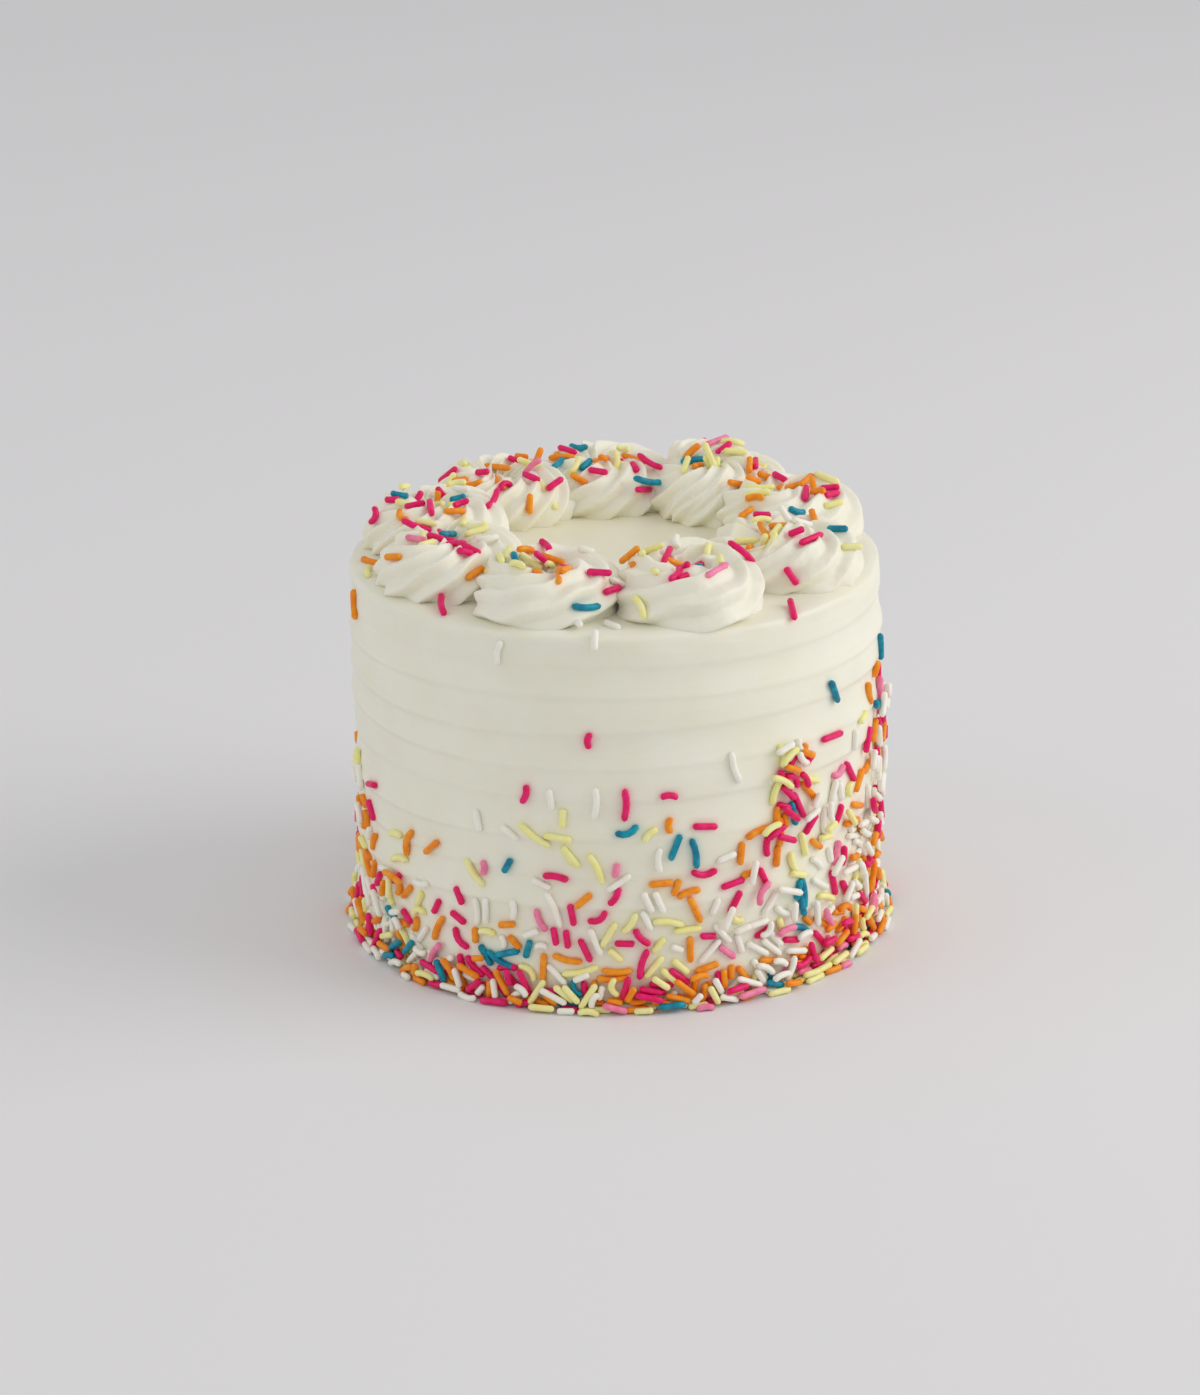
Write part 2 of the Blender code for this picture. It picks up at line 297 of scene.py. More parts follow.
icing = {
    "radius": 80.3,
    "segments": 400,
    "levels": 180,              # cuts round the side
    "topRings": 22,             # insets on the top
    "rim": 2.7,
    "waveDepth": 0.32,          # the comb's broad waves
    "wavePitch": 20.5,
    "waveFade": 25.0,
    # the low steps that the comb's strokes left: height, and how far each stands out
    "lines": (
        (107.5, 0.6), (97.0, 1.3), (87.0, 1.3), (76.0, 1.2), (65.5, 1.0), (54.5, 1.0), (43.5, 1.0),
        (32.5, 1.0), (22.0, 1.0),
    ),
    "lineWidth": 0.7,
    "stroke": (1.6, 285),       # how far the strokes dip, and the angle where they run highest
    "wobble": 0.35,             # hand-made unevenness
    "dome": 0.5,                # the top's strokes
    "rimRough": 0.7,           # what the spatula left along the rim
}


def combRelief(points):
    # mm that each point of the side stands out, by its height and its angle
    angle = np.arctan2(points[:, 1], points[:, 0])
    dip, highest = icing["stroke"]
    level = points[:, 2] / mm
    height = level - dip * (np.cos(2 * (angle - math.radians(highest))) - 1) * smoothStep(118, 95, level) / 2
    top = cakeTop / mm - icing["rim"]
    fade = np.clip(level / icing["waveFade"], 0, 1) * (0.55 + 0.45 * smoothStep(118, 104, level))
    sway = 0.9 * np.sin(angle * 2 + 0.6) + 0.5 * np.sin(angle * 5 + 2.0)
    wave = np.cos(2 * math.pi * (top - height + sway) / icing["wavePitch"])
    relief = icing["waveDepth"] * fade * wave
    draw = random.Random(31)
    for line, depth in icing["lines"]:
        drift = 0.9 * np.sin(angle + draw.uniform(0, 6.28))
        drift += 0.5 * np.sin(angle * 3 + draw.uniform(0, 6.28))
        strong = 0.70 + 0.30 * np.sin(angle * 2 + draw.uniform(0, 6.28))
        away = (height - line - drift) / icing["lineWidth"]
        step = 1 / (1 + np.exp(-np.clip(away * 2, -30, 30)))
        relief += depth * strong * step * np.exp(-np.maximum(height - line - drift, 0) / 5)
    return relief


def buildIcing():
    deselectAll()
    radius = icing["radius"] * mm
    bpy.ops.mesh.primitive_cylinder_add(
        vertices=icing["segments"], radius=radius, depth=cakeTop, location=(0, 0, cakeTop / 2)
    )
    cake = bpy.context.object
    cake.name = "icedCake"
    bpy.ops.object.transform_apply(location=True)
    bpy.ops.object.mode_set(mode="EDIT")
    bpy.ops.mesh.select_mode(type="EDGE")
    bpy.ops.mesh.select_all(action="DESELECT")
    shape = bmesh.from_edit_mesh(cake.data)
    for edge in shape.edges:
        first, second = edge.verts
        edge.select = abs(first.co.z - second.co.z) > 0.5 * cakeTop
    bmesh.update_edit_mesh(cake.data)
    bpy.ops.mesh.subdivide_edgering(number_cuts=icing["levels"], interpolation="LINEAR")
    # the top's rings
    bpy.ops.mesh.select_mode(type="FACE")
    bpy.ops.mesh.select_all(action="DESELECT")
    shape = bmesh.from_edit_mesh(cake.data)
    for face in shape.faces:
        face.select = face.calc_center_median().z > cakeTop - 1e-6
    bmesh.update_edit_mesh(cake.data)
    ringStep = 0.92 * radius / icing["topRings"]
    for ring in range(icing["topRings"]):
        bpy.ops.mesh.inset(thickness=ringStep)
    bpy.ops.mesh.poke()
    bpy.ops.object.mode_set(mode="OBJECT")
    # the rim is rounded, and the side and the top get their unevenness
    points = readPoints(cake.data)
    rim = icing["rim"] * mm
    reach = np.hypot(points[:, 0], points[:, 1])
    outward = points[:, :2] / np.maximum(reach, 1e-6)[:, None]
    nearRim = (reach > radius - rim) & (points[:, 2] > cakeTop - rim)
    offCentre = np.stack([reach - (radius - rim), points[:, 2] - (cakeTop - rim)], 1)
    square = np.maximum(np.abs(offCentre[:, 0]), np.abs(offCentre[:, 1]))
    longest = np.maximum(np.hypot(offCentre[:, 0], offCentre[:, 1]), 1e-9)
    rounded = offCentre * (square / longest)[:, None]
    reach = np.where(nearRim, radius - rim + rounded[:, 0], reach)
    level = np.where(nearRim, cakeTop - rim + rounded[:, 1], points[:, 2])
    onSide = smoothStep(radius - rim, radius - 0.2 * rim, reach)
    onSide *= 1 - smoothStep(cakeTop - 0.6 * rim, cakeTop, level)
    onSide = np.where(level < 1e-6, 0, onSide)
    relief = combRelief(points)
    bumps = np.array([
        noise.noise(Vector((x * 22, y * 22, z * 30))) for x, y, z in points
    ])
    strokes = np.array([
        noise.noise(Vector((x * 60, y * 26, 4.0))) for x, y, z in points
    ])
    onRim = smoothStep(radius - 2.4 * rim, radius - 0.8 * rim, reach)
    onRim *= smoothStep(cakeTop - 2.6 * rim, cakeTop - 0.9 * rim, level)
    smears = np.array([
        noise.noise(Vector((x * 70, y * 70, z * 160))) for x, y, z in points
    ]) * icing["rimRough"] * onRim
    reach = reach + (onSide * (relief + icing["wobble"] * bumps) + smears) * mm
    onTop = smoothStep(cakeTop - 0.5 * rim, cakeTop, level)
    level = level + (onTop * icing["dome"] * (strokes - 0.35) + 0.7 * smears) * mm
    points[:, :2] = outward * reach[:, None]
    points[:, 2] = level
    writePoints(cake.data, points)
    deselectAll()
    takeUp(cake)
    bpy.ops.object.shade_smooth()
    cake.data.materials.append(creamFinish("combed"))
    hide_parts("cake_body")
    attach(cake, "root")
    print("icing combed:", len(cake.data.polygons), "faces")
    return cake


# the piped rosettes: one ridged rope of cream, bent along a spiral for each

rope = {
    "ridges": 8,
    "ridgePoints": (0.76, 0.80, 0.87, 0.95, 1.01, 0.95, 0.87, 0.80),   # from one valley to the next
    "lengthCuts": 170,
    "voxel": 0.43,
    "sunk": 3.7,                # how high the rope's middle lies over the icing
    "cutBelow": 1.2,            # what lies deeper in the icing is cut off
    "unevenTwist": 5.0,         # degrees
    "unevenWidth": 0.06,
    "lumps": 0.34,
    "lumpSize": 8.0,
}

rosetteRing = 54.6

# place: angle on the cake, and how far off the ring it stands. rope: where it starts and how many turns
# it makes, the radius of its path and its own. twist: how many times its ridges go round it in a turn.
# end: the radius of the path and of the rope where it closes, and how high it ends. tip: where it leans
# to then, by how much, and how far it rises there. dent: where the cream is pressed in, from the middle
# of its foot, and the radius of that hollow. rough: how many times lumpier than the others it is
rosettes = {
    "rosette_1": {"place": (291, 1.5), "rope": (198, 1.30, 13.2, 11.4), "twist": 0.55,
                  "end": (3.8, 7.2, 6.4), "tip": (60, 1, 0)},
    "rosette_2": {"place": (335, 0.5), "rope": (225, 1.38, 13.6, 10.6), "twist": 1.35,
                  "end": (3.0, 5.2, 12.6), "tip": (350, 3, 0.6), "dent": (-10, -7, 17.5, 9.5),
                  "rough": 2.2},
    "rosette_3": {"place": (17, 1.2), "rope": (200, 1.42, 13.0, 11.2), "twist": 0.90,
                  "end": (3.8, 6.6, 9.6), "tip": (350, 3, 0.4)},
    "rosette_4": {"place": (53, 0.0), "rope": (225, 1.78, 13.0, 11.2), "twist": 1.90,
                  "end": (5.0, 5.6, 15.8), "tip": (178, 11, -1.5)},
    "rosette_5": {"place": (93, 0.0), "rope": (232, 1.36, 13.0, 11.2), "twist": 1.80,
                  "end": (3.6, 6.6, 8.6), "tip": (180, 2, 0.3)},
    "rosette_6": {"place": (130, 0.5), "rope": (205, 1.40, 12.8, 11.0), "twist": 2.00,
                  "end": (3.2, 6.4, 8.8), "tip": (240, 2, 0.3)},
    "rosette_7": {"place": (169, 2.0), "rope": (170, 1.45, 12.8, 11.0), "twist": 1.80,
                  "end": (3.2, 6.4, 8.8), "tip": (300, 2, 0.3)},
    "rosette_8": {"place": (208, 2.0), "rope": (165, 1.42, 13.2, 11.0), "twist": 1.50,
                  "end": (3.4, 6.6, 7.2), "tip": (60, 2, 0.3)},
    "rosette_9": {"place": (248, 1.5), "rope": (196, 1.40, 13.4, 10.6), "twist": 0.55,
                  "end": (3.8, 7.0, 5.2), "tip": (200, 1, 0)},
}


def buildRope():
    # a straight star-shaped column of unit size, which the paths bend and scale
    deselectAll()
    count = len(rope["ridgePoints"]) * rope["ridges"]
    bpy.ops.mesh.primitive_cylinder_add(vertices=count, radius=1, depth=1, location=(0, 0, 0.5))
    column = bpy.context.object
    column.name = "creamRope"
    bpy.ops.object.transform_apply(location=True)
    bpy.ops.object.mode_set(mode="EDIT")
    shape = bmesh.from_edit_mesh(column.data)
    for corner in shape.verts:
        turn = math.atan2(corner.co.y, corner.co.x) / (2 * math.pi)
        ridgePoint = round(turn * count) % len(rope["ridgePoints"])
        reach = rope["ridgePoints"][ridgePoint]
        corner.co.x *= reach
        corner.co.y *= reach
    bpy.ops.mesh.select_mode(type="EDGE")
    bpy.ops.mesh.select_all(action="DESELECT")
    shape = bmesh.from_edit_mesh(column.data)
    for edge in shape.edges:
        first, second = edge.verts
        edge.select = abs(first.co.z - second.co.z) > 0.5
    bmesh.update_edit_mesh(column.data)
    bpy.ops.mesh.subdivide_edgering(number_cuts=rope["lengthCuts"], interpolation="LINEAR")
    bpy.ops.object.mode_set(mode="OBJECT")
    return column


def spiralPath(name):
    # the nozzle's way round, with the rope's width and its twist: the nozzle isn't turned while it
    # travels, so the ridges go once round the rope for each turn
    make = rosettes[name]
    start, turns, pathRadius, ropeRadius = make["rope"]
    endPath, endRope, endHeight = make["end"]
    tipTurn, tipLean, tipRise = make["tip"]
    draw = random.Random(name)
    angle, offRing = make["place"]
    centre = onCircle(angle, rosetteRing + offRing)
    path = bpy.data.curves.new(name + "Path", "CURVE")
    path.dimensions = "3D"
    path.twist_mode = "Z_UP"
    path.use_radius = True
    path.use_stretch = True
    path.use_deform_bounds = True
    steps = 110
    line = path.splines.new("POLY")
    line.points.add(steps)
    phases = [draw.uniform(0, 6.28) for count in range(5)]
    total = 360 * turns
    closeFrom = min(270, total - 150)
    for step, point in enumerate(line.points):
        travelled = total * step / steps
        turned = math.radians(travelled)
        closing = float(smoothStep(closeFrom, total, np.float64(travelled)))
        opening = float(smoothStep(-30, 85, np.float64(travelled)))
        ending = float(smoothStep(total - 40, total, np.float64(travelled)))
        radius = pathRadius * (1.03 - 0.03 * opening)
        radius += (endPath - radius) * closing + 0.4 * math.sin(turned * 2 + phases[0])
        width = ropeRadius * (0.74 + 0.26 * opening)
        width += (endRope - width) * closing
        uneven = 0.6 * math.sin(turned * 3 + phases[1]) + 0.4 * math.sin(turned * 7 + phases[2])
        width *= 1 + rope["unevenWidth"] * uneven
        width *= 1 - 0.72 * ending
        height = rope["sunk"] * (0.55 + 0.45 * opening)
        height += (endHeight - height) * closing + tipRise * ending
        place = centre + onCircle(start + travelled, radius, height + cakeTop / mm)
        place += onCircle(tipTurn, tipLean * closing ** 4)
        point.co = (*(place * mm), 1)
        point.radius = width * mm
        sway = math.sin(turned * 4 + phases[3]) + 0.5 * math.sin(turned * 9 + phases[4])
        point.tilt = phases[0] - make["twist"] * turned + math.radians(rope["unevenTwist"] * sway)
    holder = bpy.data.objects.new(name + "Path", path)
    bpy.context.scene.collection.objects.link(holder)
    return holder


def pipeRosette(name, column, finish):
    path = spiralPath(name)
    piece = column.copy()
    piece.data = column.data.copy()
    piece.name = name.replace("rosette_", "pipedRosette")
    bpy.context.scene.collection.objects.link(piece)
    bend = piece.modifiers.new("bend", "CURVE")
    bend.object = path
    bend.deform_axis = "POS_Z"
    skin = piece.modifiers.new("skin", "REMESH")
    skin.mode = "VOXEL"
    skin.voxel_size = rope["voxel"] * mm
    soften = piece.modifiers.new("soften", "SMOOTH")
    soften.factor = 0.5
    soften.iterations = 2
    applyModifiers(piece)
    throwAway(path)
    # what lies inside the cake goes
    bpy.ops.object.mode_set(mode="EDIT")
    bpy.ops.mesh.select_all(action="SELECT")
    bpy.ops.mesh.bisect(
        plane_co=(0, 0, cakeTop - rope["cutBelow"] * mm), plane_no=(0, 0, -1), use_fill=True, clear_outer=True
    )
    bpy.ops.object.mode_set(mode="OBJECT")
    # the cream is a little lumpy
    points = readPoints(piece.data)
    lumps = [noise.noise_vector(Vector(point) / (rope["lumpSize"] * mm)) for point in points]
    fine = [noise.noise_vector(Vector(point) / (0.3 * rope["lumpSize"] * mm)) for point in points]
    rough = rope["lumps"] * rosettes[name].get("rough", 1.0)
    points += (np.array(lumps) + 0.25 * np.array(fine)) * rough * mm
    if "dent" in rosettes[name]:
        # what lies in the hollow's ball is pushed out to its skin
        x, y, height, ball = rosettes[name]["dent"]
        angle, offRing = rosettes[name]["place"]
        middle = onCircle(angle, rosetteRing + offRing, cakeTop / mm) + Vector((x, y, height))
        away = points - np.array(middle * mm)
        reach = np.linalg.norm(away, axis=1)
        pushed = np.maximum(reach, ball * mm + 0.25 * (reach - ball * mm))
        points += away * (pushed / np.maximum(reach, 1e-6) - 1)[:, None]
    writePoints(piece.data, points)
    bpy.ops.object.shade_smooth()
    piece.data.materials.clear()
    piece.data.materials.append(finish)
    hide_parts(name)
    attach(piece, "root")
    return piece


def buildRosettes():
    column = buildRope()
    finish = creamFinish("piped")
    pieces = [pipeRosette(name, column, finish) for name in rosettes]
    throwAway(column)
    print("rosettes piped:", sum(len(piece.data.polygons) for piece in pieces), "faces")
    return pieces


# the sugar strands: three are modelled, straight, bent and hooked, and copied into one piece a colour

strand = {
    "sides": 8,
    "radius": 1.03,
    "length": 7.3,
    "cuts": 3,
    "endReach": 0.65,           # how far the rounded ends go past the straight part
    "endWidth": 0.55,
    "arcs": {"straight": 0, "bent": 50, "hooked": 115},     # degrees from end to end
    "pressedIn": 0.45,          # how deep a strand sits in the cream
    "longest": 10.0,
}

# the mix of colours on the side and on the rosettes, and the mix of shapes
colourMix = {"pink": 17, "rose": 4, "orange": 23, "yellow": 17, "teal": 5, "white": 34}
leftMix = {"pink": 12, "rose": 3, "orange": 19, "yellow": 20, "teal": 5, "white": 41}
crownMix = {"pink": 16, "rose": 4, "orange": 33, "yellow": 35, "teal": 4, "white": 8}
shapeMix = {"straight": 66, "bent": 28, "hooked": 6}


def buildStrand(kind):
    deselectAll()
    straight = (strand["length"] - 2 * strand["endReach"]) * mm
    bpy.ops.mesh.primitive_cylinder_add(
        vertices=strand["sides"], radius=strand["radius"] * mm, depth=straight, rotation=(0, math.pi / 2, 0)
    )
    rod = bpy.context.object
    rod.name = kind + "Strand"
    bpy.ops.object.transform_apply(rotation=True)
    bpy.ops.object.mode_set(mode="EDIT")
    for side in (-1, 1):
        bpy.ops.mesh.select_mode(type="FACE")
        bpy.ops.mesh.select_all(action="DESELECT")
        shape = bmesh.from_edit_mesh(rod.data)
        for face in shape.faces:
            face.select = face.calc_center_median().x * side > 0.4 * straight
        bmesh.update_edit_mesh(rod.data)
        reach = side * strand["endReach"] * mm
        bpy.ops.mesh.extrude_region_move(TRANSFORM_OT_translate={"value": (reach, 0, 0)})
        bpy.ops.transform.resize(value=(1, strand["endWidth"], strand["endWidth"]))
        bpy.ops.mesh.poke(offset=0.12 * mm)
    bpy.ops.mesh.select_mode(type="EDGE")
    bpy.ops.mesh.select_all(action="DESELECT")
    shape = bmesh.from_edit_mesh(rod.data)
    for edge in shape.edges:
        first, second = edge.verts
        edge.select = abs(first.co.x - second.co.x) > 0.9 * straight
    bmesh.update_edit_mesh(rod.data)
    bpy.ops.mesh.subdivide_edgering(number_cuts=strand["cuts"], interpolation="LINEAR")
    bpy.ops.object.mode_set(mode="OBJECT")
    arc = math.radians(strand["arcs"][kind])
    if arc:
        # its length is laid along an arc
        arcRadius = strand["length"] * mm / arc
        points = readPoints(rod.data)
        turn = points[:, 0] / arcRadius
        out = arcRadius - points[:, 1]
        points[:, 0] = out * np.sin(turn)
        points[:, 1] = arcRadius - out * np.cos(turn) - 0.1 * arcRadius * arc * arc / 2
        writePoints(rod.data, points)
    takeUp(rod)
    bpy.ops.object.shade_smooth()
    return rod


def surfaceOf(pieces):
    # one search tree over some pieces, which all stand at the origin
    corners = []
    sides = []
    for piece in pieces:
        first = len(corners)
        corners += [corner.co.copy() for corner in piece.data.vertices]
        sides += [[first + corner for corner in side.vertices] for side in piece.data.polygons]
    return BVHTree.FromPolygons(corners, sides)


def frameOn(spot, normal, along, lift):
    # a strand's place: along a direction, laid on a surface
    along = (along - normal * along.dot(normal)).normalized()
    across = normal.cross(along)
    turned = Matrix((along, across, normal)).transposed().to_4x4()
    return Matrix.Translation(spot + normal * lift * mm) @ turned


def restOn(surface, spot, normal, along, length):
    # a strand takes its slope from what is under its ends, and lies on the highest point between them
    along = (along - normal * along.dot(normal)).normalized()
    under = []
    bare = 0
    for share in (-1, -0.5, 0, 0.5, 1):
        point = spot + along * (0.4 * length * share * mm)
        found = surface.ray_cast(point + normal * 5 * mm, -normal, 10 * mm)[0]
        level = -5 if found is None else (found - point).dot(normal) / mm
        bare += level < -1.2
        under.append(point + normal * max(-1.2, min(2.5, level)) * mm)
    if bare > 1:
        return None
    along = (under[-1] - under[0]).normalized()
    normal = (normal - along * normal.dot(along)).normalized()
    highest = max((point - under[0]).dot(normal) for point in under)
    middle = (under[0] + under[-1]) / 2 + normal * highest
    return frameOn(middle, normal, along, strand["radius"] - strand["pressedIn"])


class StrandHeap:
    # keeps what is laid, and finds room among it

    def __init__(self):
        self.cells = {}
        self.laid = []

    def cellsNear(self, point):
        middle = [int(math.floor(value / (3 * mm))) for value in point]
        for i in (-1, 0, 1):
            for j in (-1, 0, 1):
                for k in (-1, 0, 1):
                    yield (middle[0] + i, middle[1] + j, middle[2] + k)

    def pointsOf(self, place, length):
        half = 0.5 * length - 0.8
        return [place @ Vector((half * share * mm, 0, 0)) for share in (-1, -0.5, 0, 0.5, 1)]

    def crowding(self, place, length):
        # the distance to the nearest strand
        nearest = 1.0
        for point in self.pointsOf(place, length):
            for cell in self.cellsNear(point):
                for other in self.cells.get(cell, ()):
                    nearest = min(nearest, (point - other).length)
        return nearest

    def lay(self, colour, kind, place, length):
        self.laid.append((colour, kind, place, length))
        for point in self.pointsOf(place, length):
            cell = tuple(int(math.floor(value / (3 * mm))) for value in point)
            self.cells.setdefault(cell, []).append(point)


def pick(draw, mix):
    return draw.choices(list(mix), weights=list(mix.values()))[0]


def mixAt(angle):
    # the left has less pink than the rest
    return leftMix if 185 < angle < 228 else colourMix


# the strands that the photo shows one by one: x and y in the photo, length, lean in the picture in degrees.
# Those lower than the crop's start were read off a crop that showed them a little too close together
crop = {"start": (330, 700), "stretch": 1.018}
lone = {
    "pink": (
        (584, 739, 4.5, 85), (522, 792, 5.5, 75), (620, 802, 7.5, 88), (663, 794, 5, 0), (698, 824, 7, 0),
        (822, 735, 7, 15), (552, 873, 7.5, -10), (610, 893, 6, 60), (568, 910, 6.5, 100), (457, 913, 5.5, -40),
        (407, 912, 5, -60), (459, 934, 8, -58), (563, 934, 5.5, 95), (581, 945, 7.5, -65), (697, 869, 8, 5),
        (725, 880, 7, 20), (727, 898, 7.5, 65), (755, 874, 6, -65), (776, 779, 9, -60), (784, 759, 6, 60),
        (789, 803, 8, -65), (775, 804, 4, -15), (801, 821, 7, 60), (828, 812, 6.5, 70), (839, 770, 6, -65),
        (755, 927, 6, 35), (782, 935, 4.5, 0), (701, 931, 4.5, 0), (823, 879, 7, -80), (834, 884, 4.5, -60),
        (473, 961, 8, -50), (489, 970, 8, -45), (500, 982, 9, -50), (516, 979, 10, -35), (505, 962, 6, 0),
        (637, 959, 9, 75), (673, 971, 7, -35), (645, 987, 9, 5), (838, 930, 7, -50), (830, 942, 6, 30),
        (843, 950, 7, 70), (828, 955, 7, 10), (834, 963, 6, 40), (442, 610, 8, 95), (650, 462, 9, -30),
        (642, 489, 4.5, 0), (742, 552, 10, -40), (762, 517, 5, -20), (796, 533, 5, 30), (792, 575, 6, -55),
        (792, 611, 7, -80), (831, 499, 4.5, 20), (667, 555, 5, 65), (698, 565, 4, 30), (599, 574, 7, 5),
        (612, 591, 5, 20), (544, 560, 7, -40), (467, 552, 8, -55), (464, 557, 5, 0), (555, 485, 6, 35),
        (514, 462, 5, -20), (493, 499, 7, 60), (527, 483, 6, -50), (375, 516, 6, 75), (393, 500, 4.5, 0),
        (417, 500, 6, 60), (415, 506, 6, 0), (449, 475, 7, 40), (442, 495, 6, -50), (417, 526, 10, -20),
        (442, 539, 8, -10), (504, 486, 4.5, 20),
    ),
    "rose": (
        (482, 864, 4, 90), (611, 867, 4, 80), (537, 916, 7, -65), (716, 441, 8, 20), (717, 570, 7, 30),
        (776, 966, 6, 50),
    ),
    "orange": (
        (663, 823, 4.5, 90), (408, 839, 8, 78), (431, 844, 5.5, 40), (369, 816, 5.5, 90), (579, 897, 6, 40),
        (438, 923, 7.5, 65), (474, 930, 4.5, 90), (512, 937, 5, -50), (655, 880, 7, 5), (670, 884, 5, 70),
        (682, 889, 7, 20), (688, 905, 8, -65), (733, 850, 6.5, 85), (741, 870, 4.5, 20), (750, 829, 8, 25),
        (768, 818, 8, 88), (768, 853, 6, 85), (794, 752, 6, 80), (800, 790, 8, -45), (771, 829, 9, 90),
        (841, 819, 6, 10), (856, 765, 4.5, 60), (811, 917, 4.5, -30), (854, 861, 5, -70), (462, 977, 12, -75),
        (540, 962, 8, 88), (612, 966, 9, 0), (607, 973, 9, 2), (700, 962, 7, 20), (735, 968, 5, -50),
        (794, 946, 9, 5), (800, 952, 8, -8), (790, 957, 8, 12), (693, 452, 6, 40), (750, 467, 5.5, 90),
        (735, 484, 5, -10), (791, 486, 9, 10), (766, 479, 5, 10), (815, 490, 8, -80), (859, 495, 6, -40),
        (747, 514, 5, 30), (765, 531, 6, -50), (631, 556, 8, 15), (645, 565, 9, 0), (673, 565, 6, -5),
        (559, 575, 4.5, 85), (475, 574, 6, 35), (634, 459, 8, -20), (579, 479, 6, -30), (562, 458, 8, 5),
        (597, 462, 4, 0), (497, 467, 8, -5), (541, 456, 5, 60), (528, 504, 6, 80), (499, 482, 5, -50),
        (475, 486, 5, 40), (356, 604, 9, 88), (355, 745, 8, 80), (357, 790, 5, 60), (873, 668, 5, 80),
        (460, 481, 8, 5), (436, 498, 4.5, 85), (452, 513, 4.5, -20), (403, 517, 5, -50), (394, 557, 4.5, 0),
        (371, 563, 6, -15),
    ),
    "yellow": (
        (531, 833, 11, -35), (554, 835, 8, -10), (559, 816, 5.5, 85), (564, 852, 6, -60), (568, 855, 6, -50),
        (644, 832, 5.5, 45), (473, 869, 9.5, -58), (592, 865, 9.5, -65), (485, 927, 5, -10), (604, 930, 8, 60),
        (625, 919, 7, 55), (662, 918, 9, -5), (681, 925, 8, 8), (773, 754, 7.5, -80), (766, 789, 8, 75),
        (799, 777, 7, -10), (794, 841, 7, -75), (783, 859, 6, -70), (789, 871, 4.5, -10), (839, 787, 5, 80),
        (771, 921, 5, -70), (816, 893, 5, -10), (846, 866, 7, 75), (576, 966, 11, 15), (648, 962, 8, 50),
        (667, 973, 9, -35), (735, 452, 7, 0), (719, 465, 5, 90), (760, 488, 9, 0), (804, 470, 7, 90),
        (827, 479, 8, -20), (834, 506, 6, 20), (768, 545, 9, 60), (852, 548, 6, 0), (653, 550, 9, -5),
        (709, 552, 5, 90), (643, 609, 6, -75), (530, 565, 7, -10), (545, 567, 6, -20), (507, 555, 8, 70),
        (496, 569, 7, 15), (617, 462, 7, 90), (575, 466, 6, 60), (490, 453, 5, -65), (527, 463, 6, -20),
        (548, 496, 10, -60), (453, 482, 6, 85), (406, 506, 7, -25), (368, 573, 5, 88),
    ),
    "teal": (
        (833, 691, 6.5, -70), (622, 829, 7.5, 20), (669, 844, 8, 70), (688, 850, 8.5, -80), (505, 862, 4.5, 60),
        (784, 811, 7, -75), (794, 889, 9, -85), (792, 900, 7, -75), (789, 886, 6, 80), (792, 924, 5, -20),
        (484, 950, 7, -60), (498, 955, 10, -25), (505, 948, 7, 10), (416, 975, 7, 25), (412, 981, 5, 0),
        (740, 990, 5, 25), (694, 462, 7, 15), (796, 512, 5, -15), (838, 530, 6, 0), (586, 608, 8, 0),
        (516, 561, 5, -70), (648, 481, 9, -10), (557, 467, 6, 50), (585, 465, 4.5, 40), (458, 498, 5, 15),
        (448, 534, 4.5, 0),
    ),
    "white": (
        (547, 797, 5.5, 100), (591, 801, 8.5, 88), (476, 818, 6.5, 100), (507, 830, 6, -40), (727, 766, 9.5, -70),
        (653, 857, 7, 90), (614, 879, 8, 35), (538, 880, 6, -25), (551, 905, 12, -78), (475, 907, 8, 95),
        (484, 906, 7.5, 90), (511, 905, 6, 90), (591, 937, 8, -65), (642, 898, 6.5, -65), (653, 898, 7, -65),
        (641, 916, 6, -65), (719, 854, 6, 25), (814, 818, 8, 88), (751, 964, 7, -55), (726, 979, 7, 40),
        (747, 993, 6, 10), (499, 652, 7, 80), (580, 627, 5, 80), (595, 641, 6, 88), (612, 627, 4.5, -20),
        (622, 586, 8, -25), (676, 543, 4.5, 90),
    ),
}


# the width of a pixel of the photo, 1 away from the camera
perPixel = 36.0 / cameraSet["lens"] / 1395


def viewRay(x, y):
    # from the camera through a point of the photo, which is 1200 pixels wide and 1395 high
    camera = bpy.context.scene.camera
    aim = Vector(((x - 600) * perPixel, (697.5 - y) * perPixel, -1))
    return camera.matrix_world.translation, (camera.matrix_world.to_3x3() @ aim).normalized()


